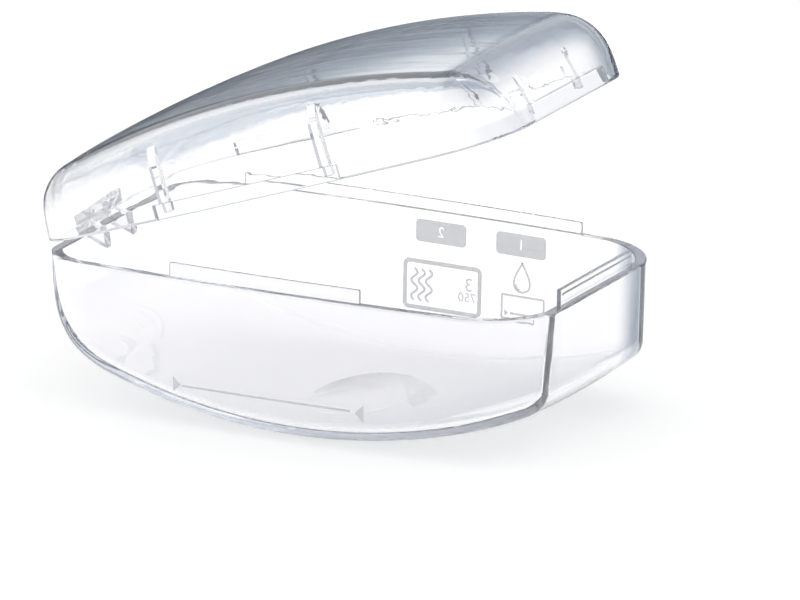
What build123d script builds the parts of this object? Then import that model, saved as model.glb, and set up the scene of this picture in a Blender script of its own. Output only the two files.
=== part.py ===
"""Pacifier steriliser case: a clear clamshell of two moulded halves, hinged at one end.

The tray stands on a small flat under its curved bottom. The domed lid turns on a plastic
pin held in two ears at the tray's hinge end. Three lips on the tray's rim drop into
rebates inside the lid's rim, and the lip at the latch end carries the snap bead.

X runs from the hinge end to the latch end, Y across the case, Z up. The origin is the
centre of the flat that the tray stands on. The lid is drawn shut and then turned open.
"""
from build123d import *
import math
import os

# ---- outline of the rim, seen from above ----
LENGTH = 120.0              # hinge end to latch end
WIDTH = 76.0                # across the middle, where the long sides bulge most
HINGE_END_WIDTH = 73.0      # across the hinge end, as if its corners were sharp
LATCH_END_WIDTH = 70.5      # across the latch end, as if its corners were sharp
HINGE_CORNER = 13.0         # corner radius at the hinge end
LATCH_CORNER = 19.0         # corner radius at the latch end
END_PLANE = 0.5             # how far the flat ends are planed into those corners
WALL = 2.6                  # wall of both halves
DRAFT = 1.8                 # degrees, lean of the long walls for the mould

# ---- tray ----
TRAY_DEPTH = 33.8           # rim to the flat that it stands on
TRAY_CROWN_X = 3.0          # deepest place of the curved bottom, from the middle
TRAY_CROWN_RADIUS = 141.0   # curve of the bottom along the case
TRAY_CROSS_RADIUS = 400.0   # much gentler curve of the bottom across the case
STAND_FLAT = 0.4            # how much of that crown is planed off to stand on
TRAY_HINGE_LEAN = 11.0      # degrees, lean of the hinge end wall
TRAY_LATCH_LEAN = 3.0       # degrees, lean of the latch end wall
TRAY_HINGE_ROUND = 22.0     # curve between hinge end wall and bottom
TRAY_LATCH_ROUND = 7.0      # curve between latch end wall and bottom
TRAY_EDGE_RADIUS = 4.5      # outside edge along the bottom

# ---- lid ----
LID_HEIGHT = 22.4           # rim to the top of the dome
LID_CROWN_X = 1.0           # highest place of the dome, from the middle
LID_CROWN_RADIUS = 215.0    # curve of the dome along the case
LID_CROSS_RADIUS = 450.0    # much gentler curve of the dome across the case
LID_HINGE_LEAN = 10.0       # degrees, lean of the hinge end wall
LID_LATCH_LEAN = 8.5        # degrees, lean of the latch end wall
LID_HINGE_ROUND = 10.0      # curve between hinge end wall and dome
LID_LATCH_ROUND = 15.0      # curve between latch end wall and dome
LID_EDGE_RADIUS = 10.0      # outside shoulder along the dome

# ---- lips on the tray's rim, and the rebates in the lid that take them ----
LIP_THICKNESS = 1.0         # inner part of the wall that stands up
LIP_HEIGHT = 3.0            # lips on the long sides
LATCH_LIP_HEIGHT = 3.6      # lip at the latch end
FRONT_LIP = (-27.0, 19.3)   # ends of the front lip along X, from the middle
BACK_LIP = (-44.4, 38.5)    # ends of the back lip along X
LATCH_LIP = (-16.5, 18.8)   # ends of the latch lip along Y
LIP_GAP = 0.35              # clearance between a lip and the rebate round it
RIM_GAP = 0.2               # between the rims when shut, which lets the steam out
BEAD_RADIUS = 0.3           # snap bead on the outside of the latch lip
BEAD_HEIGHT = 2.3           # centre of the bead above the rim

# ---- ribs inside the lid, each with a nub that keeps a lip from bowing inward ----
RIB_WIDTH = 2.0
RIB_DEPTH = 2.4             # how far a long side's rib stands in from the rim's inner edge
FRONT_RIBS = (-25.0, 16.2)  # along X, from the middle
BACK_RIBS = (-21.0, 20.0)   # along X
LATCH_RIBS = (-13.5, 10.2)  # along Y
LATCH_RIB_DEPTH = 1.6       # the same at the foot of the latch end's ribs
LATCH_RIB_LEAN = 14.0       # degrees, lean of their inner edge
NUB_WIDTH = 1.6
NUB_BASE = 1.0              # lower end of a nub above the rim

# ---- small rounds that a mould leaves on free edges ----
RIM_ROUND = 0.45            # both edges of each rim
LIP_ROUND = 0.3             # top and ends of the lips
HINGE_ROUND = 0.5           # sides of the ears and of the knuckle

# ---- hinge ----
HINGE_OUT = 4.2             # axis, outside the hinge end of the rim
HINGE_DROP = 0.9            # axis, below the rim
BARREL_RADIUS = 2.7         # round of the ears and of the knuckle
KNUCKLE_WIDTH = 9.0         # lid's knuckle, between the ears
EAR_WIDTH = 2.8             # each of the tray's two ears
HINGE_SIDE_GAP = 0.3        # between the knuckle and an ear
PIN_RADIUS = 1.25
PIN_RUNNING_GAP = 0.05      # round the pin, in the knuckle
EAR_WALL_TOP = 0.6          # top of an ear where it meets the wall, below the axis
EAR_WALL_BOTTOM = 5.5       # its foot on the wall, below the axis
KNUCKLE_CLEARANCE = 0.5     # under the knuckle's arm, above the tray's rim
KNUCKLE_WALL_TOP = 5.0      # top of the arm on the lid's wall, above the axis
LID_REST_ANGLE = 19.1       # degrees open, as the part stands at rest

# ---- places worked out from the sizes above ----
RIM_Z = TRAY_DEPTH
MIDDLE_X = -TRAY_CROWN_X                        # middle of the rim, from the origin
AXIS = (-LENGTH / 2 - HINGE_OUT, -HINGE_DROP)   # X and Z of the hinge, from the rim's middle
RECESS_INSET = WALL - LIP_THICKNESS - LIP_GAP   # skin of lid wall left outside a rebate
SKIRT = 3 * WALL                                # spare length of a profile past the rim
SPARE = 1.0                                     # overlap of pieces that are fused or cut
SMOOTH_ANGLE = 8.0                              # degrees; a blunter edge than this is a seam


def block(x, y, z):
    """Box between pairs of limits along X, Y and Z."""
    size = [pair[1] - pair[0] for pair in (x, y, z)]
    middle = [(pair[1] + pair[0]) / 2 for pair in (x, y, z)]
    return Pos(*middle) * Box(*size)


def plan_outline():
    """Outline from above: two bulged sides, two ends, four rounded corners."""
    half = LENGTH / 2 + END_PLANE
    front = ThreePointArc((-half, -HINGE_END_WIDTH / 2), (0, -WIDTH / 2), (half, -LATCH_END_WIDTH / 2))
    back = ThreePointArc((half, LATCH_END_WIDTH / 2), (0, WIDTH / 2), (-half, HINGE_END_WIDTH / 2))
    face = make_face([front, Line(front @ 1, back @ 0), back, Line(back @ 1, front @ 0)])
    ends = face.vertices().group_by(Axis.X)
    face = fillet(ends[0], HINGE_CORNER)
    ends = face.vertices().group_by(Axis.X)
    return fillet(ends[-1], LATCH_CORNER)


def rim_outline(inset):
    """Outline of the rim with its flat ends, moved in from the outside face."""
    ends = Rectangle(LENGTH, 2 * WIDTH)
    return offset(plan_outline() & ends, amount=-inset) if inset else plan_outline() & ends


def wall_lean(height, lean):
    """How far a leaning end wall has moved in at a height from the rim."""
    return height * math.tan(math.radians(lean))


def side_profile(height, crown_x, crown_radius, leans, rounds):
    """Side view of one half, rim at height 0 and crown up: end walls, end curves, crown."""
    top = height + SKIRT
    half = LENGTH / 2
    hinge_end = [(-half + wall_lean(z, leans[0]), z) for z in (top, -SKIRT)]
    latch_end = [(half - wall_lean(z, leans[1]), z) for z in (-SKIRT, top)]
    walls = Polyline(*hinge_end, *latch_end, close=True)
    crown = Pos(crown_x, height - crown_radius) * Circle(crown_radius)
    side = make_face(walls) & crown
    shoulders = side.vertices().filter_by(lambda v: v.Y > 0).sort_by(Axis.X)
    side = fillet(shoulders[0], rounds[0])
    shoulders = side.vertices().filter_by(lambda v: v.Y > 0).sort_by(Axis.X)
    return fillet(shoulders[-1], rounds[1])


def sharp_edges(body):
    """Edges above the rim where two faces meet at an angle, not the seams between smooth ones."""
    found = []
    for edge in body.edges().filter_by(lambda e: e.center().Z > 0.01):
        beside = [f for f in body.faces() if any(edge.is_same(e) for e in f.edges())]
        middle = edge @ 0.5
        if beside[0].normal_at(middle).get_angle(beside[1].normal_at(middle)) > SMOOTH_ANGLE:
            found.append(edge)
    return found


def half_body(profile, height, cross_radius, edge_radius, inset):
    """Solid of one half, moved in from its outside face, rim on the XY plane and crown up.

    The side view is swung about a distant axis, which crowns it across the case as well.
    """
    outline = offset(plan_outline(), amount=-inset) if inset else plan_outline()
    side = offset(profile, amount=-inset) if inset else profile
    swing_axis = Axis((0, 0, height - cross_radius), (1, 0, 0))
    swing = math.degrees(math.asin(WIDTH / (cross_radius - height - SKIRT)))
    crowned = revolve((Plane.XZ * side).rotate(swing_axis, -swing), swing_axis, 2 * swing)
    body = extrude(outline, height + SPARE, taper=DRAFT) & crowned
    return fillet(sharp_edges(body), edge_radius - inset)


def shell(profile, height, cross_radius, edge_radius, flat=0):
    """One half: its outside form, planed by the flat, and the open shell with a rounded rim."""
    outside = half_body(profile, height, cross_radius, edge_radius, 0)
    if flat:
        outside &= block((-LENGTH, LENGTH), (-WIDTH, WIDTH), (0, height - flat))
    hollow = outside - half_body(profile, height, cross_radius, edge_radius, WALL)
    return outside, fillet(hollow.edges().group_by(Axis.Z)[0], RIM_ROUND)


def rim_band(outer, inner, bottom, top):
    """Ring that follows the rim between two insets and two heights."""
    ring = rim_outline(outer) - rim_outline(inner)
    return Pos(0, 0, bottom) * extrude(ring, top - bottom)


def lip_zones(gap, bottom, top, latch_top):
    """Blocks that cut the rim band into its front, back and latch stretches."""
    return [
        block((FRONT_LIP[0] - gap, FRONT_LIP[1] + gap), (-WIDTH, 0), (bottom, top)),
        block((BACK_LIP[0] - gap, BACK_LIP[1] + gap), (0, WIDTH), (bottom, top)),
        block((LENGTH / 4, LENGTH), (LATCH_LIP[0] - gap, LATCH_LIP[1] + gap), (bottom, latch_top)),
    ]


def lips():
    """The tray's three lips, and the bead along the outside of the one at the latch end."""
    band = rim_band(WALL - LIP_THICKNESS, WALL, -SPARE, LATCH_LIP_HEIGHT)
    pieces = []
    for zone in lip_zones(0, -SPARE, LIP_HEIGHT, LATCH_LIP_HEIGHT):
        lip = band & zone
        pieces.append(fillet(lip.edges().filter_by(lambda e: e.center().Z > 0), LIP_ROUND))
    bead_x = LENGTH / 2 - WALL + LIP_THICKNESS
    bead_length = LATCH_LIP[1] - LATCH_LIP[0] - 2 * LIP_THICKNESS
    bead = Cylinder(BEAD_RADIUS, bead_length, rotation=(90, 0, 0))
    pieces.append(Pos(bead_x, sum(LATCH_LIP) / 2, BEAD_HEIGHT) * bead)
    return pieces


def rebates():
    """What is cut from inside the lid's rim to clear the lips."""
    band = rim_band(RECESS_INSET, WALL + RIB_DEPTH, -SPARE, LATCH_LIP_HEIGHT + LIP_GAP)
    return [band & zone for zone in
            lip_zones(LIP_GAP, -SPARE, LIP_HEIGHT + LIP_GAP, LATCH_LIP_HEIGHT + LIP_GAP)]


def wall_zone(side, place, width, bottom, top):
    """Block across the front, back or latch wall, centred on one rib's place."""
    across = (place - width / 2, place + width / 2)
    if side == "latch":
        return block((LENGTH / 4, LENGTH), across, (bottom, top))
    return block(across, (-WIDTH, 0) if side == "front" else (0, WIDTH), (bottom, top))


def latch_rib_slab(foot):
    """Everything outward of the leaning inner edge of the latch end's ribs."""
    edge_x = LENGTH / 2 - WALL - LATCH_RIB_DEPTH
    top_x = edge_x - wall_lean(LID_HEIGHT - foot, LATCH_RIB_LEAN)
    side = Polyline((LENGTH, foot), (edge_x, foot), (top_x, LID_HEIGHT), (LENGTH, LID_HEIGHT), close=True)
    return extrude(Plane.XZ * make_face(side), WIDTH, both=True)


def ribs(outside):
    """Ribs from the rebates up to the shoulder, with a nub hanging inside the lip from each."""
    pieces = []
    for side, places, lip, depth in (("front", FRONT_RIBS, LIP_HEIGHT, RIB_DEPTH),
                                     ("back", BACK_RIBS, LIP_HEIGHT, RIB_DEPTH),
                                     ("latch", LATCH_RIBS, LATCH_LIP_HEIGHT, LATCH_RIB_DEPTH)):
        foot = lip + LIP_GAP
        wall = rim_band(RECESS_INSET, WALL + depth, foot, LID_HEIGHT)
        if side == "latch":
            wall = latch_rib_slab(foot)
        nubs = rim_band(WALL + LIP_GAP, WALL + depth, NUB_BASE, foot + SPARE)
        for place in places:
            pieces.append(wall & outside & wall_zone(side, place, RIB_WIDTH, foot, LID_HEIGHT))
            pieces.append(nubs & wall_zone(side, place, NUB_WIDTH, NUB_BASE, foot + SPARE))
    return pieces


def hinge_profile(wall_bottom, wall_top):
    """Side view of an ear: the barrel, and its foot in the middle of the hinge end wall."""
    wall_middle = HINGE_OUT + WALL / 2
    foot = [(wall_middle + wall_lean(HINGE_DROP - z, TRAY_HINGE_LEAN), z)
            for z in (wall_bottom, wall_top)]
    return make_hull(Circle(BARREL_RADIUS).edges() + [Line(*foot)])


def across_hinge(sketch, middle, width, bore):
    """Extrude a side view across the case on the hinge axis, round its sides and bore it."""
    body = extrude(Plane.XZ * sketch, width / 2, both=True)
    sides = body.edges().filter_by(lambda e: abs(e.center().Y) > width / 2 - HINGE_ROUND / 2)
    body = fillet(sides, HINGE_ROUND) - Cylinder(bore, 2 * width, rotation=(90, 0, 0))
    return Pos(AXIS[0], middle, AXIS[1]) * body


def ears():
    """The tray's two ears, bored to hold the pin tight."""
    side = hinge_profile(-EAR_WALL_BOTTOM, -EAR_WALL_TOP)
    middle = KNUCKLE_WIDTH / 2 + HINGE_SIDE_GAP + EAR_WIDTH / 2
    return [across_hinge(side, sign * middle, EAR_WIDTH, PIN_RADIUS) for sign in (-1, 1)]


def knuckle():
    """The lid's knuckle between the ears, with an arm that passes over the tray's rim."""
    arm_bottom = HINGE_DROP + KNUCKLE_CLEARANCE
    foot_x = HINGE_OUT + WALL / 2
    arm = Polyline((0, 0), (0, BARREL_RADIUS), (foot_x, KNUCKLE_WALL_TOP), (foot_x, arm_bottom),
                   (BARREL_RADIUS / 2, arm_bottom), close=True)
    side = Circle(BARREL_RADIUS) + make_face(arm)
    return across_hinge(side, 0, KNUCKLE_WIDTH, PIN_RADIUS + PIN_RUNNING_GAP)


def tray():
    """Tray with its rim on the XY plane, before it is set on its flat."""
    profile = side_profile(TRAY_DEPTH + STAND_FLAT, TRAY_CROWN_X, TRAY_CROWN_RADIUS,
                           (TRAY_HINGE_LEAN, TRAY_LATCH_LEAN), (TRAY_HINGE_ROUND, TRAY_LATCH_ROUND))
    body = shell(profile, TRAY_DEPTH + STAND_FLAT, TRAY_CROSS_RADIUS, TRAY_EDGE_RADIUS, STAND_FLAT)[1]
    return mirror(body, about=Plane.XY) + lips() + ears()


def lid():
    """Lid shut over the XY plane, crown up."""
    profile = side_profile(LID_HEIGHT, LID_CROWN_X, LID_CROWN_RADIUS,
                           (LID_HINGE_LEAN, LID_LATCH_LEAN), (LID_HINGE_ROUND, LID_LATCH_ROUND))
    outside, body = shell(profile, LID_HEIGHT, LID_CROSS_RADIUS, LID_EDGE_RADIUS)
    return Pos(0, 0, RIM_GAP) * (body - rebates() + ribs(outside)) + knuckle()


def hinge_pin():
    """Plain plastic pin through both ears and the knuckle."""
    length = KNUCKLE_WIDTH + 2 * (HINGE_SIDE_GAP + EAR_WIDTH)
    return Pos(AXIS[0], 0, AXIS[1]) * Cylinder(PIN_RADIUS, length, rotation=(90, 0, 0))


def opened(solid, angle):
    """Turn the lid open about the hinge axis."""
    hinge = Axis((AXIS[0], 0, AXIS[1]), (0, -1, 0))
    return solid.rotate(hinge, angle)


def main():
    place = Pos(MIDDLE_X, 0, RIM_Z)
    nodes = {
        "tray_shell": place * tray(),
        "lid_shell": place * opened(lid(), LID_REST_ANGLE),
        "hinge_pin": place * hinge_pin(),
    }
    os.makedirs("parts", exist_ok=True)
    for name, shape in nodes.items():
        export_step(shape, f"parts/{name}.step")


main()
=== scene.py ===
# %% [markdown]
# # A clear steriliser case for two pacifiers
# The real object is a clamshell moulded in clear, rigid plastic: a tray with a curved bottom, a domed lid
# that turns on a pin, and a few grey marks printed on the tray's walls. Clear plastic has almost no colour
# of its own. What the eye reads as its shape is refraction, reflection and the longer way that light takes
# through a corner or a rim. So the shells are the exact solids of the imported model, given a real glass-like
# shader, and the work goes into that shader, into the studio round it and into the print.

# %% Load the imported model
import math
import operator
from functools import reduce

import bmesh
import bpy
from mathutils import Matrix, Vector
from mathutils.bvhtree import BVHTree


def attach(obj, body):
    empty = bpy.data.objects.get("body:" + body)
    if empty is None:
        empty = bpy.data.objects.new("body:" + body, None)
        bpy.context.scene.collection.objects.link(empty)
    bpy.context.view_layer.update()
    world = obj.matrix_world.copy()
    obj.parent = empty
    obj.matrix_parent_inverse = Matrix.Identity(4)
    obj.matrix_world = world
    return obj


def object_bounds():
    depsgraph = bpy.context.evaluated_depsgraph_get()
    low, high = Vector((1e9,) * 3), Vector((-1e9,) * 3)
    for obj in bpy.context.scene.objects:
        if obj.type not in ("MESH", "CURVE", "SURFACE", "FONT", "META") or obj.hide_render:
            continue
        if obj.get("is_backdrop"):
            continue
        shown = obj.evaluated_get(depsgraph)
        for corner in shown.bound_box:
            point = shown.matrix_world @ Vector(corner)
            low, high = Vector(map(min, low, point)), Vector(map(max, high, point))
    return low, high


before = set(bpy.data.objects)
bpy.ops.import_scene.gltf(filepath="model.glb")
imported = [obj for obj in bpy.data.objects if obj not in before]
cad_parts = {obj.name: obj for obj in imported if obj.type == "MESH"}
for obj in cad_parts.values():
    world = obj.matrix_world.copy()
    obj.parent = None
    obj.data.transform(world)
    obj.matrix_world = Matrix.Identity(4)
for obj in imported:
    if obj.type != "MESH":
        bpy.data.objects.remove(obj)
cad_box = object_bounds()
scene = bpy.context.scene
MM = 0.001
shells = {name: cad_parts[name] for name in ("tray_shell", "lid_shell", "hinge_pin")}
print("pieces in the packed model:", sorted(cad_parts))

# %% [markdown]
# ## Camera
# The view is a long lens from far away, so that both ends of the case look the same size. The camera could
# be placed by hand, but then every change moves the whole picture. Here its direction, its small roll and
# the point it looks at are named numbers, and a matrix is built from them.

# %% Camera
RIM_MIDDLE = Vector((-3.0, 0.0, 33.8)) * MM
AZIMUTH = math.radians(26.58)
ELEVATION = math.radians(16.44)
ROLL = math.radians(0.52)
AIM_RIGHT, AIM_DOWN = 9.96 * MM, 10.73 * MM     # from the middle of the rim to the middle of the view
DISTANCE = 4.595
LENS = 945.0

level = Vector((math.cos(AZIMUTH), math.sin(AZIMUTH), 0))
away = Vector((-math.sin(AZIMUTH) * math.cos(ELEVATION),
               math.cos(AZIMUTH) * math.cos(ELEVATION), -math.sin(ELEVATION)))
upright = level.cross(away)
right = level * math.cos(ROLL) + upright * math.sin(ROLL)
up = upright * math.cos(ROLL) - level * math.sin(ROLL)
aim = RIM_MIDDLE + right * AIM_RIGHT - up * AIM_DOWN

camera = bpy.data.objects.new("camera", bpy.data.cameras.new("camera"))
scene.collection.objects.link(camera)
turn = Matrix((right, up, -away)).transposed().to_4x4()
camera.matrix_world = Matrix.Translation(aim - away * DISTANCE) @ turn
camera.data.lens = LENS
camera.data.clip_start, camera.data.clip_end = 0.1, 100
scene.camera = camera
print("camera at", [round(v, 3) for v in camera.location])

# %% [markdown]
# ## Sums on shader sockets
# A pattern is a formula, and a formula is easier to read as one line of Python than as a tangle of Math
# nodes. The small class below stands for one socket. Adding or multiplying two of them adds the Math node
# that does it.

# %% Values
class Value:
    """One output socket that can be used in a sum."""

    def __init__(self, nodes, socket):
        self.nodes, self.socket = nodes, socket

    def maths(self, operation, *others):
        return self.nodes.make("ShaderNodeMath", {"operation": operation}, dict(enumerate((self, *others))))

    def __add__(self, other):
        return self.maths("ADD", other)

    def __sub__(self, other):
        return self.maths("SUBTRACT", other)

    def __mul__(self, other):
        return self.maths("MULTIPLY", other)

    def __rsub__(self, other):
        return self * -1 + other

    __radd__, __rmul__ = __add__, __mul__

    def above(self, limit):
        return self.maths("GREATER_THAN", limit)

    def either(self, other):
        return self.maths("MAXIMUM", other)

    def rise(self, low, high):
        """0 below low, 1 above high and a smooth step between them, or the other way round."""
        limits = {"Value": self, "From Min": min(low, high), "From Max": max(low, high),
                  "To Min": float(low > high), "To Max": float(low < high)}
        return self.nodes.make("ShaderNodeMapRange", {"interpolation_type": "SMOOTHSTEP"}, limits)


# %% [markdown]
# Every other node comes from one method. It takes the node's type, its settings and what goes into its
# sockets, which may be numbers, colours or values. That keeps a material to a few lines, where adding and
# linking each node by hand would take a page.

# %% Nodes
class Nodes:
    """A node tree with one method that adds any node."""

    def __init__(self, owner):
        owner.use_nodes = True
        self.tree = owner.node_tree
        self.tree.nodes.clear()

    def make(self, kind, settings=None, inputs=None, output=0):
        node = self.tree.nodes.new(kind)
        for name, setting in (settings or {}).items():
            setattr(node, name, setting)
        for key, value in (inputs or {}).items():
            if isinstance(value, Value):
                self.tree.links.new(value.socket, node.inputs[key])
            else:
                node.inputs[key].default_value = value
        return Value(self, node.outputs[output]) if node.outputs else node

    def mix(self, share, first, second):
        """Colour between two others."""
        return self.make("ShaderNodeMix", {"data_type": "RGBA"}, {0: share, 6: first, 7: second}, output=2)


# %% [markdown]
# ## Studio
# Glass and clear plastic are lit by what surrounds them. A white table and white walls alone make a clear
# object vanish. So the room has darker parts, each of which only some rays can find:
#
# - reflected rays meet a slate strip at the height of the horizon and paper that turns to slate far away,
#   which together draw the dome in grey;
# - refracted rays meet a backlight that dims towards the horizon and far to either side, which draws the
#   corners and the rims;
# - the camera's own rays meet plain white.
#
# Dark screens round a real table could do the same, but they would also change the shadow. The Light Path
# node tells the kinds of ray apart, so each part can be set without touching the others.

# %% Kinds of ray
WHITE = (1, 1, 1, 1)
SLATE = (0.075, 0.085, 0.098, 1)
ONE_HIT = 0.5                    # a depth above this means at least one hit


def ray_kinds(nodes, *names):
    """Outputs of a Light Path node, such as Is Camera Ray."""
    rays = nodes.make("ShaderNodeLightPath").socket.node.outputs
    return [Value(nodes, rays[name]) for name in names]


# %% [markdown]
# The floor is a sheet of white paper. Plain white paper would render as a light grey under so weak a lamp,
# and a stronger lamp would bleach the plastic. So the paper glows a little for the rays that look at it,
# and only its lit part reaches white, while the shadow stays.

# %% Floor
FLOOR_HALF = 1.0                 # metres from the case to the edge of the paper
FLOOR_BELOW = 0.3 * MM           # so that the floor doesn't lie in the same plane as the stand flat
FLOOR_COLOUR = (0.8, 0.8, 0.8, 1)
FLOOR_GLOW = 0.32                # lifts the lit floor to white and leaves the shadow
FLOOR_GLOW_THROUGH = 0.19        # the same, where the floor is seen through the plastic
PAPER_DARKENS = (0.14, 0.3)      # metres: mirrored paper is white before these and slate after them
DARK_INSIDE = 0.2                # how much of that slate is left for reflections inside the plastic

floor_mesh = bpy.data.meshes.new("floor")
quarters = ((-1, -1), (1, -1), (1, 1), (-1, 1))
floor_corners = [(x * FLOOR_HALF, y * FLOOR_HALF, -FLOOR_BELOW) for x, y in quarters]
floor_mesh.from_pydata(floor_corners, [], [(0, 1, 2, 3)])
floor = bpy.data.objects.new("floor", floor_mesh)
scene.collection.objects.link(floor)
floor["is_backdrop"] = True

floor_paint = bpy.data.materials.new("floor_paper")
nodes = Nodes(floor_paint)
by_camera, by_gloss, through, walls_passed = ray_kinds(
    nodes, "Is Camera Ray", "Is Glossy Ray", "Is Transmission Ray", "Transmission Depth")
place = Value(nodes, nodes.make("ShaderNodeTexCoord").socket.node.outputs["Object"])
distance = nodes.make("ShaderNodeVectorMath", {"operation": "LENGTH"}, {0: place}, output="Value")
outside = 1.0 - walls_passed.above(ONE_HIT) * (1.0 - DARK_INSIDE)
dark = by_gloss * distance.rise(*PAPER_DARKENS) * outside
paper = nodes.make("ShaderNodeBsdfDiffuse", inputs={"Color": nodes.mix(dark, FLOOR_COLOUR, SLATE)})
strength = by_camera.either(by_gloss - dark) * FLOOR_GLOW + through * FLOOR_GLOW_THROUGH
glow = nodes.make("ShaderNodeEmission", inputs={"Color": WHITE, "Strength": strength})
surface = nodes.make("ShaderNodeAddShader", inputs={0: paper, 1: glow})
nodes.make("ShaderNodeOutputMaterial", inputs={"Surface": surface})
floor_mesh.materials.append(floor_paint)
print("floor of", 2 * FLOOR_HALF, "m, with", len(nodes.tree.nodes), "nodes in its paper")

# %% [markdown]
# The world is the room round the table. An image of a studio could serve, but two soft steps by height and
# one to the side are enough for a case this simple, and each has its own number to turn. Light that was
# scattered by the paper meets an even room, so that the dark parts don't dim the shadow's edge.

# %% World
ROOM_LIGHT = 0.9                 # brightness of the room that lights the paper
STRIP_HEIGHTS = [math.sin(math.radians(angle)) for angle in (4, 15)]       # slate below, white above
BACKLIGHT_HEIGHTS = [math.sin(math.radians(angle)) for angle in (0, 25)]   # dim below, white above
BACKLIGHT_LOW = (0.66, 0.69, 0.73, 1)
SIDE_WALLS = (0.72, 0.97)        # how far to the side a ray points before it meets the side walls
SIDE_GREY = (0.72, 0.75, 0.8, 1)

world = bpy.data.worlds.new("studio")
scene.world = world
nodes = Nodes(world)
direction = nodes.make("ShaderNodeTexCoord").socket.node.outputs["Generated"]
height = nodes.make("ShaderNodeSeparateXYZ", inputs={0: Value(nodes, direction)}, output=2)
sideways = nodes.make("ShaderNodeVectorMath", {"operation": "DOT_PRODUCT"}, {
    0: Value(nodes, direction), 1: level}, output="Value").maths("ABSOLUTE")
by_camera, by_gloss, through, scattered = ray_kinds(
    nodes, "Is Camera Ray", "Is Glossy Ray", "Is Transmission Ray", "Diffuse Depth")
room = (ROOM_LIGHT,) * 3 + (1,)
strip = nodes.mix(height.rise(*STRIP_HEIGHTS), SLATE, WHITE)
backlight = nodes.mix(height.rise(*BACKLIGHT_HEIGHTS), BACKLIGHT_LOW, WHITE)
backlight = nodes.mix(sideways.rise(*SIDE_WALLS), backlight, SIDE_GREY)
colour = nodes.mix(by_camera, room, WHITE)
colour = nodes.mix(by_gloss, colour, strip)
colour = nodes.mix(through, colour, backlight)
colour = nodes.mix(scattered.above(ONE_HIT), colour, room)
background = nodes.make("ShaderNodeBackground", inputs={"Color": colour, "Strength": 1.0})
nodes.make("ShaderNodeOutputWorld", inputs={"Surface": background})
scene.view_settings.view_transform = "Standard"
print("world with", len(nodes.tree.nodes), "nodes")

# %% [markdown]
# ## Key light
# One large, weak lamp gives the shadow its direction: it comes forward from under the case and falls off
# softly. The lamp stands behind the case, high up and a little to the right, and is a soft box more than
# half a metre wide. A small lamp would draw a hard edge on the paper.

# %% Key light
KEY_PLACE = Vector((-0.1, 0.75, 0.95))
KEY_SIZE = 0.6
KEY_WATTS = 1.3

key = bpy.data.objects.new("key_light", bpy.data.lights.new("key_light", "AREA"))
key.data.shape, key.data.size, key.data.energy = "SQUARE", KEY_SIZE, KEY_WATTS
key.location = KEY_PLACE
key.rotation_mode = "QUATERNION"
key.rotation_quaternion = (RIM_MIDDLE - KEY_PLACE).to_track_quat("-Z", "Y")
scene.collection.objects.link(key)

# Light caught inside a wall runs along it and comes out at the rim after many bounces.
WALL_BOUNCES = 32
scene.cycles.max_bounces = WALL_BOUNCES
scene.cycles.transmission_bounces = WALL_BOUNCES
scene.cycles.glossy_bounces = WALL_BOUNCES
scene.cycles.transparent_max_bounces = WALL_BOUNCES
print("key light of", KEY_WATTS, "W, and rays that bounce up to", WALL_BOUNCES, "times")

# %% [markdown]
# ## Clear plastic
# The plastic could be a transparent surface with some gloss painted on, but only real refraction gives the
# bright and dark lines that a thick clear wall shows at its corners. The shader is a transmissive
# Principled BSDF with a faint blue-grey absorption in its depth, which darkens the rims and corners by
# itself. Moulded plastic is never quite even: it flowed from one end of the mould to the other. A stretched
# noise makes those flow lines, which ripple the surface by up to a few hundredths of a millimetre.
#
# The noise and the painted reflection below need to know where on the case they are. Object coordinates say
# that, and a Mapping node sets their zero to the middle of the rim. The lid is packed open, so for it the
# node also turns them back about the hinge, as if it were shut.

# %% Plastic and its coordinates
PLASTIC_IOR = 1.49
PLASTIC_ROUGHNESS = 0.015
STREAK_ROUGHNESS, ROUGH_FLOW = 0.02, (0.55, 0.8)   # added where the flow is between these and above
PLASTIC_CLARITY = 0.97                # the rest scatters, as faintly milky plastic does
LIGHT_PASSES = (0.99, 0.99, 0.992, 1)   # what each face lets through towards a lamp
ABSORB_COLOUR = (0.64, 0.7, 0.8, 1)
ABSORB_DENSITY = 9.0
FLOW_SCALE = (14.0, 230.0, 230.0)     # long waves along the case, short ones across it
TRAY_RIPPLE = 0.01 * MM
LID_RIPPLE = 0.03 * MM
LID_OPEN = math.radians(19.1)
HINGE = Vector((-67.2, 0.0, 32.9)) * MM


def own_coordinates(nodes, turned):
    """Object coordinates with the rim's middle at 0, and for the lid turned back to where it is shut."""
    place = Value(nodes, nodes.make("ShaderNodeTexCoord").socket.node.outputs["Object"])
    if not turned:
        return nodes.make("ShaderNodeMapping", inputs={"Vector": place, "Location": -RIM_MIDDLE})
    back = Matrix.Rotation(LID_OPEN, 4, Vector((0, 1, 0)))
    shift = HINGE - RIM_MIDDLE - back.to_3x3() @ HINGE
    return nodes.make("ShaderNodeMapping", inputs={
        "Vector": place, "Location": shift, "Rotation": (0, LID_OPEN, 0)})


# %% [markdown]
# The case is greyer than its walls alone explain where it curves towards the horizon: over the dome, round
# the latch shoulder and at the tray's upright corners. This grey is painted reflection, a tint in soft
# patches that stands in for the dark room mirrored in those curves. It could be painted on an unwrapped
# texture, but each patch is easier to set as a product of smooth steps along the case, across it, up or
# down. It has no hard edge then, and stays sharp at any size.

# %% Where the painted reflection lies
CROWN_RADIUS, CROWN_X, CROWN_TOP = 215.0 * MM, 1.0 * MM, 22.4 * MM   # the dome's curve along the case
TRAY_CLEAR = (0.922, 0.919, 0.929, 1)
LID_CLEAR = (0.972, 0.97, 0.976, 1)
# The grey and the darker grey of the painted reflection.
PAINTED_REFLECTION_GREY = (0.6, 0.66, 0.72, 1)
PAINTED_REFLECTION_DARK = (0.34, 0.39, 0.46, 1)

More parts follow.
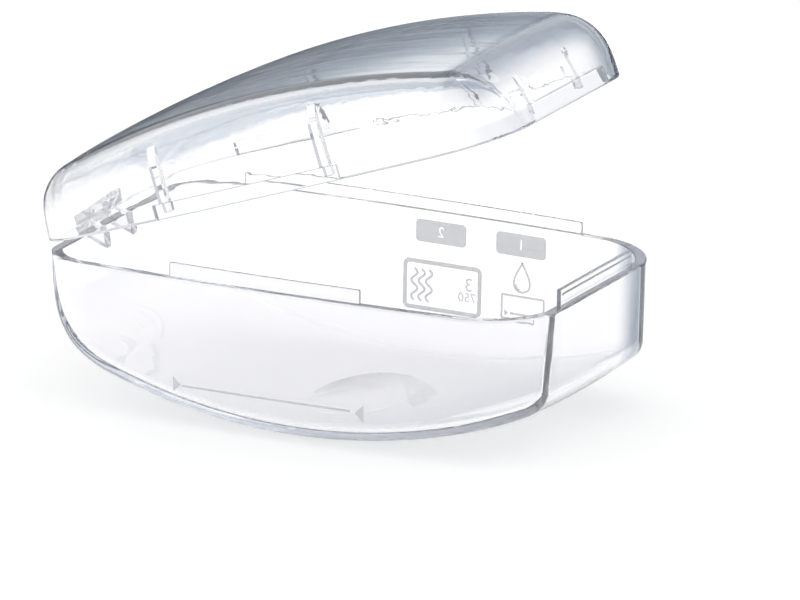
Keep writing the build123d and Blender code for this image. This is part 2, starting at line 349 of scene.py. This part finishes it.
# Steps of each patch: a measure, where smoke starts and where it is full, in mm. The measures x, y and z
# start at the middle of the rim. "below" is counted down from the crown, and "depth" is the same but
# reaches lower at the back.
DOME = (("depth", 5.5, 2.0), ("x", 49.0, 47.0), ("y", -31.0, -26.0))
# A painted highlight: a line along the dome's front where less grey is painted.
PAINTED_HIGHLIGHT_LINE = (("below", 0.9, 1.3), ("below", 3.6, 2.8), ("y", -10.0, -20.0))
LATCH_SHOULDER = (("x", 45.5, 47.5), ("x", 56.5, 53.0), ("below", 9.0, 6.0), ("y", -34.0, -24.0))
LATCH_CORNER = (("x", 42.0, 57.0), ("y", 15.0, 25.0))
LATCH_EDGE = (("x", 50.0, 54.0), ("z", 4.6, 3.6))
# Upright bands of painted reflection at the tray's corners.
TRAY_FRONT = (("y", -18.6, -20.0), ("y", -24.4, -22.8))
TRAY_BACK = (("y", 16.5, 19.0),)
TRAY_LATCH_END = (("x", 46.0, 51.0),)
BACK_BEGINS, BACK_REACH = (0.0, 30.0 * MM), 6.0 * MM    # from the ridge to the back, "depth" gains this
STREAK_LEAST, STREAK_MORE, STREAK_FLOW = 0.55, 0.85, (0.35, 0.65)   # painted reflection between and in the streaks

# How much of each patch counts.
PAINTED_HIGHLIGHT_SHARE = 0.75                     # painted reflection that the painted highlight line takes off the dome
BAND_SHARE, EDGE_SHARE = 0.9, 0.3     # painted reflection at the latch shoulder and corner, and at the lid's edge below them
FRONT_SHARE, BACK_SHARE = 0.1, 0.85   # painted reflection at the tray's corners at the latch end

# %% Painted reflection
def patch(at, steps):
    """Soft patch: 1 where every measure is past its second place, 0 where one is before its first."""
    return reduce(operator.mul, [at[name].rise(start * MM, full * MM) for name, start, full in steps])


def lid_painted_reflection(nodes, at):
    """Painted reflection on the lid: streaky on the dome, gone on its walls, and darker round the latch
    shoulder.
    """
    from_crown = at["x"] - CROWN_X
    at["below"] = CROWN_TOP - from_crown * from_crown * (0.5 / CROWN_RADIUS) - at["z"]
    at["depth"] = at["below"] - at["y"].rise(*BACK_BEGINS) * BACK_REACH
    streaks = STREAK_LEAST + STREAK_MORE * at["flow"].rise(*STREAK_FLOW)
    dome = patch(at, DOME) * streaks * (1.0 - PAINTED_HIGHLIGHT_SHARE * patch(at, PAINTED_HIGHLIGHT_LINE))
    latch = patch(at, LATCH_SHOULDER).either(patch(at, LATCH_CORNER)) * BAND_SHARE
    band = latch.either(patch(at, LATCH_EDGE) * EDGE_SHARE)
    return nodes.mix(band, nodes.mix(dome, LID_CLEAR, PAINTED_REFLECTION_GREY), PAINTED_REFLECTION_DARK)


def tray_painted_reflection(nodes, at):
    """Painted reflection on the tray: upright bands where the latch end's flat face meets its round corners.
    """
    bands = (patch(at, TRAY_FRONT) * FRONT_SHARE).either(patch(at, TRAY_BACK) * BACK_SHARE)
    return nodes.mix(bands * patch(at, TRAY_LATCH_END), TRAY_CLEAR, PAINTED_REFLECTION_DARK)


# %% [markdown]
# Now the plastic itself. One thing needs help: a solid that bends light throws a dark shadow, since the
# path from a point on the floor to the lamp can't bend. Caustics would mend it, at the cost of a noisy
# picture. Here the rays towards a lamp go straight through the walls, a little dimmed at each face.

# %% Clear plastic
def clear_plastic(name, ripple, turned=False, painted_reflection=None):
    """Clear moulded plastic. The last argument paints reflection into its tint, where the tint isn't even."""
    material = bpy.data.materials.new(name)
    nodes = Nodes(material)
    place = own_coordinates(nodes, turned)
    flow_place = nodes.make("ShaderNodeVectorMath", {"operation": "MULTIPLY"}, {0: place, 1: FLOW_SCALE})
    flow = nodes.make("ShaderNodeTexNoise", inputs={
        "Vector": flow_place, "Scale": 1.0, "Detail": 2.0, "Roughness": 0.45})
    colour = TRAY_CLEAR
    if painted_reflection:
        axes = nodes.make("ShaderNodeSeparateXYZ", inputs={0: place}).socket.node.outputs
        at = {axis.name.lower(): Value(nodes, axis) for axis in axes}
        at["flow"] = flow
        colour = painted_reflection(nodes, at)
    wavy = nodes.make("ShaderNodeBump", inputs={"Strength": 1.0, "Distance": ripple, "Height": flow})
    plastic = nodes.make("ShaderNodeBsdfPrincipled", inputs={
        "Base Color": colour, "Roughness": PLASTIC_ROUGHNESS + STREAK_ROUGHNESS * flow.rise(*ROUGH_FLOW),
        "IOR": PLASTIC_IOR, "Transmission Weight": PLASTIC_CLARITY, "Normal": wavy})
    passing = nodes.make("ShaderNodeBsdfTransparent", inputs={"Color": LIGHT_PASSES})
    to_lamp, = ray_kinds(nodes, "Is Shadow Ray")
    surface = nodes.make("ShaderNodeMixShader", inputs={0: to_lamp, 1: plastic, 2: passing})
    volume = nodes.make("ShaderNodeVolumeAbsorption", inputs={
        "Color": ABSORB_COLOUR, "Density": ABSORB_DENSITY})
    nodes.make("ShaderNodeOutputMaterial", inputs={"Surface": surface, "Volume": volume})
    print(name, "-", len(nodes.tree.nodes), "nodes")
    return material


# The lid's and the tray's tints carry painted reflection.
finishes = {
    "tray_shell": clear_plastic("clear_plastic_tray", TRAY_RIPPLE, painted_reflection=tray_painted_reflection),
    "lid_shell": clear_plastic("clear_plastic_lid", LID_RIPPLE, turned=True, painted_reflection=lid_painted_reflection),
    "hinge_pin": clear_plastic("clear_plastic_pin", TRAY_RIPPLE),
}
for name, material in finishes.items():
    shells[name].data.materials[0] = material

# %% [markdown]
# ## Printed marks
# The tray's long walls carry marks printed in light grey ink: on the back, two numbered pads, a panel with
# rising heat and two plain numbers, a water drop and a level; on the front, a fill line between two
# arrowheads. A texture could paint them, but real ink has edges and a thickness, so each mark is a thin
# solid. All are drawn flat first, in millimetres along the wall and up from the rim, and then laid on the
# real wall by a ray that finds its surface. A mark goes half its thickness into the plastic, as ink that
# bonds to it does.

# %% Ink
INK_DEPTH = 0.05                 # mm
INK_LIGHT = (0.78, 0.79, 0.8, 1)
INK_DARK = (0.62, 0.63, 0.645, 1)
INK_COVER = 0.42                 # the rest of the light passes each face of the thin ink
INK_GRAIN, INK_CLOUD = 3200.0, 260.0   # fine dots of the print, and slow changes over a whole mark
INK_SPOTS, INK_SHARE = (0.3, 0.7), 0.35   # noise values that count, and how dark each kind makes the ink
INK_ROUGHNESS, GRAIN_ROUGHNESS = 0.5, 0.15
INK_BUMP, INK_BUMP_STRENGTH = 0.004 * MM, 0.4


def print_ink(name):
    """Half-covering grey ink with grain."""
    material = bpy.data.materials.new(name)
    nodes = Nodes(material)
    place = Value(nodes, nodes.make("ShaderNodeTexCoord").socket.node.outputs["Object"])
    grain = nodes.make("ShaderNodeTexNoise", inputs={"Vector": place, "Scale": INK_GRAIN, "Detail": 2.0})
    cloud = nodes.make("ShaderNodeTexNoise", inputs={"Vector": place, "Scale": INK_CLOUD, "Detail": 2.0})
    spots = grain.rise(*INK_SPOTS) * INK_SHARE + cloud.rise(*INK_SPOTS) * INK_SHARE
    bump = nodes.make("ShaderNodeBump", inputs={
        "Strength": INK_BUMP_STRENGTH, "Distance": INK_BUMP, "Height": grain})
    surface = nodes.make("ShaderNodeBsdfPrincipled", inputs={
        "Base Color": nodes.mix(spots, INK_LIGHT, INK_DARK),
        "Roughness": INK_ROUGHNESS + GRAIN_ROUGHNESS * grain, "Alpha": INK_COVER, "Normal": bump})
    nodes.make("ShaderNodeOutputMaterial", inputs={"Surface": surface})
    return material


ink = print_ink("grey_print_ink")
print("ink layers are", INK_DEPTH, "mm deep")

# %% [markdown]
# A mark drawn flat would float off the bulged wall at its ends. Shrinkwrap could pull it on, but it would
# also flatten the ink's thickness. So a mark is cut into short lengths, and a ray through each of its
# points finds the wall there and keeps the point's own depth.

# %% Laying a flat mark on a wall
FRONT, BACK = -1, 1              # the tray's two long walls
BEND_STEP = 1.5                  # how often a mark is cut, in mm, to follow the wall's curve
RAY_START = 0.1                  # metres, well outside the wall
SAME_PLACE = 1e-7                # metres, points closer than this are one point

tray_mesh = shells["tray_shell"].data
walls = BVHTree.FromPolygons([v.co.copy() for v in tray_mesh.vertices],
                             [tuple(p.vertices) for p in tray_mesh.polygons])


def lay_on_wall(name, bm, side):
    """Turn flat millimetres (along, up, depth) into a piece on the tray's FRONT or BACK wall."""
    low = min(v.co.x for v in bm.verts)
    high = max(v.co.x for v in bm.verts)
    place = low + BEND_STEP
    while place < high:
        parts = bm.verts[:] + bm.edges[:] + bm.faces[:]
        bmesh.ops.bisect_plane(bm, geom=parts, plane_co=(place, 0, 0), plane_no=(1, 0, 0))
        place += BEND_STEP
    for v in bm.verts:
        x, z = RIM_MIDDLE.x + v.co.x * MM, RIM_MIDDLE.z + v.co.y * MM
        hit = walls.ray_cast(Vector((x, side * RAY_START, z)), Vector((0, -side, 0)))[0]
        v.co = (x, hit.y + side * v.co.z * MM, z)
    bmesh.ops.remove_doubles(bm, verts=bm.verts, dist=SAME_PLACE)
    bmesh.ops.triangulate(bm, faces=[f for f in bm.faces if len(f.verts) > 4])
    bmesh.ops.recalc_face_normals(bm, faces=bm.faces)
    mesh = bpy.data.meshes.new(name)
    bm.to_mesh(mesh)
    bm.free()
    mesh.materials.append(ink)
    piece = bpy.data.objects.new(name, mesh)
    scene.collection.objects.link(piece)
    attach(piece, "tray")
    print(name, "-", len(mesh.polygons), "faces")


# %% [markdown]
# Flat shapes get their depth by one extrusion. The arrowheads are plain outlines, so they need nothing
# more. Their points are (along, up), like those of every mark below.

# %% Filled marks
def thickened(bm, depth=INK_DEPTH):
    """Flat faces as a thin solid, half of it on each side of the wall's surface."""
    bmesh.ops.translate(bm, verts=bm.verts, vec=(0, 0, -depth / 2))
    top = bmesh.ops.extrude_face_region(bm, geom=bm.faces[:])["geom"]
    bmesh.ops.translate(bm, verts=[g for g in top if isinstance(g, bmesh.types.BMVert)], vec=(0, 0, depth))
    bmesh.ops.recalc_face_normals(bm, faces=bm.faces)
    return bm


def filled(outline):
    """A closed outline of (along, up) points as a thin solid."""
    bm = bmesh.new()
    bm.faces.new([bm.verts.new((x, z, 0)) for x, z in outline])
    return thickened(bm)


arrowheads = {
    "level_pointer": (BACK, [(19.0, -20.0), (19.0, -21.4), (20.0, -20.7)]),
    "fill_pointer_hinge_side": (FRONT, [(-25.4, -22.3), (-25.4, -25.9), (-23.4, -24.1)]),
    "fill_pointer_latch_side": (FRONT, [(21.0, -22.5), (21.0, -26.7), (18.9, -24.6)]),
}
for name, (side, outline) in arrowheads.items():
    lay_on_wall(name, filled(outline), side)

# %% [markdown]
# The other marks come from three small Geometry Nodes trees. A tree keeps its sizes as inputs, so a
# mark can be set again without drawing it again. The trees share the functions below.

# %% Geometry Nodes helpers
def socket(tree, name, kind, default=None):
    """Add a named input to a tree's interface."""
    item = tree.interface.new_socket(name, in_out="INPUT", socket_type=kind)
    if default is not None:
        item.default_value = default


def add(tree, kind, settings=None, inputs=None):
    """Add a geometry node, with its settings, its values and the links to its sockets."""
    node = tree.nodes.new(kind)
    for name, setting in (settings or {}).items():
        setattr(node, name, setting)
    for key, value in (inputs or {}).items():
        if isinstance(value, bpy.types.NodeSocket):
            tree.links.new(value, node.inputs[key])
        else:
            node.inputs[key].default_value = value
    return node


def swept_strip(tree, curve, width, depth):
    """Sweep a flat rectangle along a curve that lies level."""
    flat = add(tree, "GeometryNodeSetCurveNormal", {"mode": "Z_UP"}, {"Curve": curve})
    profile = add(tree, "GeometryNodeCurvePrimitiveQuadrilateral", {"mode": "RECTANGLE"},
                  {"Width": width, "Height": depth})
    return add(tree, "GeometryNodeCurveToMesh", None, {
        "Curve": flat.outputs[0], "Profile Curve": profile.outputs[0], "Fill Caps": True})


def finish_tree(tree, geometry, material):
    """End a tree in Realize Instances and Set Material."""
    tree.interface.new_socket("Geometry", in_out="OUTPUT", socket_type="NodeSocketGeometry")
    real = add(tree, "GeometryNodeRealizeInstances", None, {"Geometry": geometry})
    inked = add(tree, "GeometryNodeSetMaterial", None, {"Geometry": real.outputs[0], "Material": material})
    add(tree, "NodeGroupOutput", None, {0: inked.outputs[0]})


def run_tree(data, tree, values):
    """Run a tree on a curve or mesh and return the result as a bmesh."""
    carrier = bpy.data.objects.new("carrier", data)
    scene.collection.objects.link(carrier)
    modifier = carrier.modifiers.new("tree", "NODES")
    modifier.node_group = tree
    for item in tree.interface.items_tree:
        if item.in_out == "INPUT" and item.name in values:
            modifier[item.identifier] = values[item.name]
    bpy.context.view_layer.update()
    mesh = bpy.data.meshes.new_from_object(carrier.evaluated_get(bpy.context.evaluated_depsgraph_get()))
    bpy.data.objects.remove(carrier)
    bm = bmesh.new()
    bm.from_mesh(mesh)
    bpy.data.meshes.remove(mesh)
    return bm


# %% [markdown]
# The pads have their numbers left open, so that the plastic shows through. A Boolean would cut them, but
# small curved digits make it fail. A fill that counts how deep curves are nested leaves the holes by
# itself, so a tree joins a rounded rectangle with the digits' outlines and fills both at once. Without the
# rectangle it gives plain printed numbers. On the back wall they read from outside, so they are mirrored.

# %% Tree for numbers and numbered pads
DIGIT_SHARE = 0.7                # height of a digit as a share of the font's size
number_tree = bpy.data.node_groups.new("printed_number", "GeometryNodeTree")
for name, kind, default in (("Geometry", "NodeSocketGeometry", None), ("Text", "NodeSocketString", "1"),
                            ("Digit Height", "NodeSocketFloat", 2.3), ("Pad", "NodeSocketBool", False),
                            ("Pad Width", "NodeSocketFloat", 12.0), ("Pad Height", "NodeSocketFloat", 4.8),
                            ("Pad Corner", "NodeSocketFloat", 1.0)):
    socket(number_tree, name, kind, default)
given = add(number_tree, "NodeGroupInput").outputs
size = add(number_tree, "ShaderNodeMath", {"operation": "MULTIPLY"}, {
    0: given["Digit Height"], 1: 1 / DIGIT_SHARE})
text = add(number_tree, "GeometryNodeStringToCurves", {"align_x": "CENTER", "align_y": "MIDDLE"}, {
    "String": given["Text"], "Size": size.outputs[0]})
digits = add(number_tree, "GeometryNodeRealizeInstances", None, {"Geometry": text.outputs[0]})
plate = add(number_tree, "GeometryNodeCurvePrimitiveQuadrilateral", {"mode": "RECTANGLE"}, {
    "Width": given["Pad Width"], "Height": given["Pad Height"]})
rounded = add(number_tree, "GeometryNodeFilletCurve", {"mode": "POLY"}, {
    "Curve": plate.outputs[0], "Count": 6, "Radius": given["Pad Corner"]})
chosen = add(number_tree, "GeometryNodeSwitch", {"input_type": "GEOMETRY"}, {
    "Switch": given["Pad"], "True": rounded.outputs[0]})
joined = add(number_tree, "GeometryNodeJoinGeometry")
number_tree.links.new(digits.outputs[0], joined.inputs[0])
number_tree.links.new(chosen.outputs[0], joined.inputs[0])
inside = add(number_tree, "GeometryNodeFillCurve", {"mode": "TRIANGLES"}, {"Curve": joined.outputs[0]})
finish_tree(number_tree, inside.outputs[0], ink)
print("number tree with", len(number_tree.nodes), "nodes")

# %% [markdown]
# On the tray, the two pads count the steps of its use, and the panel's numbers are minutes and watts. The
# numbers are set here, with the place of their middle.

# %% Numbers
def number(text, x, z, height, pad=None):
    """A number, or a pad of a width and a height with the number left open, as a thin solid."""
    values = {"Text": text, "Digit Height": height, "Pad": bool(pad)}
    if pad:
        values.update({"Pad Width": pad[0], "Pad Height": pad[1]})
    bm = run_tree(bpy.data.meshes.new("seed"), number_tree, values)
    mirrored = Matrix.Translation((x, z, 0)) @ Matrix.Scale(-1, 4, (1, 0, 0))
    bmesh.ops.transform(bm, matrix=mirrored, verts=bm.verts)
    return thickened(bm)


PAD = (12.5, 5.1)                # width and height, mm
numbers = {                      # text, along, up, height of a digit, and the pad if there is one
    "number_pad_2": ("2", 2.85, -5.0, 2.4, PAD),
    "number_pad_1": ("1", 22.8, -5.0, 2.4, PAD),
    "panel_number_minutes": ("3", 9.95, -16.0, 3.0),
    "panel_number_watts": ("750", 9.6, -18.9, 2.1),
}
for name, sizes in numbers.items():
    lay_on_wall(name, number(*sizes), BACK)

# %% [markdown]
# Line marks follow a path: a rectangle, a drop, a level. Each could be modelled as its own strip, but one
# Geometry Nodes tree draws them all. It sweeps a flat rectangle along whatever curve it is given, with the
# width of the line and the depth of the ink as inputs.

# %% Tree for printed lines
line_tree = bpy.data.node_groups.new("printed_line", "GeometryNodeTree")
socket(line_tree, "Geometry", "NodeSocketGeometry")
socket(line_tree, "Line Width", "NodeSocketFloat", 0.3)
socket(line_tree, "Ink Depth", "NodeSocketFloat", INK_DEPTH)
given = add(line_tree, "NodeGroupInput").outputs
strip_node = swept_strip(line_tree, given["Geometry"], given["Line Width"], given["Ink Depth"])
finish_tree(line_tree, strip_node.outputs[0], ink)
print("line tree with", len(line_tree.nodes), "nodes")


def drawn(paths, width):
    """Strips along flat paths, each a list of points and whether it closes."""
    curve = bpy.data.curves.new("paths", "CURVE")
    curve.dimensions = "3D"
    for points, closed in paths:
        spline = curve.splines.new("POLY")
        spline.points.add(len(points) - 1)
        for place, (x, z) in zip(spline.points, points):
            place.co = (x, z, 0, 1)
        spline.use_cyclic_u = closed
    return run_tree(curve, line_tree, {"Line Width": width})


# %% [markdown]
# The outlines are worked out from a few sizes each. Drawn by hand as Bezier curves they would look the
# same, but a size in a formula is easier to set against the real print.

# %% Outlines
def arc(x, z, radius, start, end, steps=10):
    """Points along part of a circle, between two angles in degrees."""
    angles = [math.radians(start + (end - start) * i / steps) for i in range(steps + 1)]
    return [(x + radius * math.cos(a), z + radius * math.sin(a)) for a in angles]


def rounded_rectangle(x0, x1, z0, z1, radius, steps=6):
    """Corner points of a rectangle with rounded corners, anticlockwise."""
    points = []
    for cx, cz, start in ((x1 - radius, z0 + radius, -90), (x1 - radius, z1 - radius, 0),
                          (x0 + radius, z1 - radius, 90), (x0 + radius, z0 + radius, 180)):
        points += arc(cx, cz, radius, start, start + 90, steps)
    return points


DROP_FULLNESS, DROP_POINT = 0.65, 1.5   # the second is how quickly the drop narrows to its point


def drop_outline(x, top, bottom, width, steps=40):
    """A water drop: pointed at the top and round below."""
    middle, half = (top + bottom) / 2, (top - bottom) / 2
    angles = [2 * math.pi * (i + 0.5) / steps for i in range(steps)]
    return [(x + DROP_FULLNESS * width * math.sin(a) * math.sin(a / 2) ** DROP_POINT,
             middle + half * math.cos(a)) for a in angles]


def level_line(x, z, step, count):
    """Points of a level line, every step from its left end."""
    return [(x + step * i, z) for i in range(count)]


# %% [markdown]
# The back wall carries the panel's frame, the drop with a highlight in it, and a box with a level line. The
# front wall has one long fill line. The frame is printed twice as thick as the rest.

# %% Line marks
LINE = 0.46                      # mm
PANEL_LINE = 0.95
line_marks = {                   # wall, width of the line, and paths with whether each one closes
    "heat_panel_frame": (BACK, PANEL_LINE, [(rounded_rectangle(-5.8, 12.7, -22.6, -12.1, 1.0), True)]),
    "water_drop": (BACK, LINE, [(drop_outline(23.2, -8.9, -15.6, 4.4), True),
                                (arc(23.2, -13.8, 1.5, 185, 250), False)]),
    "level_box": (BACK, LINE, [(rounded_rectangle(18.3, 28.8, -21.9, -16.6, 0.2, 2), True),
                               (level_line(20.4, -20.7, 0.5, 12), False)]),
    "fill_line": (FRONT, LINE, [(level_line(-23.2, -24.3, 1.0, 42), False)]),
}
for name, (side, width, paths) in line_marks.items():
    lay_on_wall(name, drawn(paths, width), side)

# %% [markdown]
# The three heat waves repeat one line. The tree bends a line into a sine, sweeps it and sets out as many
# copies as asked.

# %% Tree for the heat waves
WAVE_POINTS = 49                 # points along one wave
WAVE_LINE = 0.54                 # mm, a little wider than the other lines
WAVES_LEFT, WAVES_BOTTOM = -3.5, -21.1

wave_tree = bpy.data.node_groups.new("heat_waves", "GeometryNodeTree")
for name, kind, default in (("Geometry", "NodeSocketGeometry", None), ("Count", "NodeSocketInt", 3),
                            ("Spacing", "NodeSocketFloat", 3.0), ("Height", "NodeSocketFloat", 7.0),
                            ("Swing", "NodeSocketFloat", 0.6), ("Turns", "NodeSocketFloat", 2.0),
                            ("Line Width", "NodeSocketFloat", 0.3),
                            ("Ink Depth", "NodeSocketFloat", INK_DEPTH)):
    socket(wave_tree, name, kind, default)
given = add(wave_tree, "NodeGroupInput").outputs
top_end = add(wave_tree, "ShaderNodeCombineXYZ", None, {"Y": given["Height"]})
straight = add(wave_tree, "GeometryNodeCurvePrimitiveLine", None, {"End": top_end.outputs[0]})
fine = add(wave_tree, "GeometryNodeResampleCurve", None, {
    "Curve": straight.outputs[0], "Count": WAVE_POINTS})
along = add(wave_tree, "GeometryNodeSplineParameter")
turns = add(wave_tree, "ShaderNodeMath", {"operation": "MULTIPLY"}, {
    0: along.outputs["Factor"], 1: given["Turns"]})
phase = add(wave_tree, "ShaderNodeMath", {"operation": "MULTIPLY"}, {0: turns.outputs[0], 1: 2 * math.pi})
sine = add(wave_tree, "ShaderNodeMath", {"operation": "SINE"}, {0: phase.outputs[0]})
sway = add(wave_tree, "ShaderNodeMath", {"operation": "MULTIPLY"}, {0: sine.outputs[0], 1: given["Swing"]})
offset = add(wave_tree, "ShaderNodeCombineXYZ", None, {"X": sway.outputs[0]})
bent = add(wave_tree, "GeometryNodeSetPosition", None, {
    "Geometry": fine.outputs[0], "Offset": offset.outputs[0]})
wave = swept_strip(wave_tree, bent.outputs[0], given["Line Width"], given["Ink Depth"])
gap = add(wave_tree, "ShaderNodeCombineXYZ", None, {"X": given["Spacing"]})
row = add(wave_tree, "GeometryNodeMeshLine", {"mode": "OFFSET"}, {
    "Count": given["Count"], "Offset": gap.outputs[0]})
copies = add(wave_tree, "GeometryNodeInstanceOnPoints", None, {
    "Points": row.outputs[0], "Instance": wave.outputs[0]})
finish_tree(wave_tree, copies.outputs[0], ink)

waves = run_tree(bpy.data.meshes.new("seed"), wave_tree, {
    "Count": 3, "Spacing": 1.8, "Height": 7.3, "Swing": -0.75, "Line Width": WAVE_LINE})
bmesh.ops.translate(waves, verts=waves.verts, vec=(WAVES_LEFT, WAVES_BOTTOM, 0))
lay_on_wall("heat_waves", waves, BACK)

# %% [markdown]
# ## Last checks
# The print has to stay within the solids' own box, because Blender doesn't change the size of the object.

# %% Sizes, and the end
seen_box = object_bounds()
grown = [(b - a) / MM for a, b in zip(cad_box[1] - cad_box[0], seen_box[1] - seen_box[0])]
print("box grew by", [round(length, 3) for length in grown], "mm")
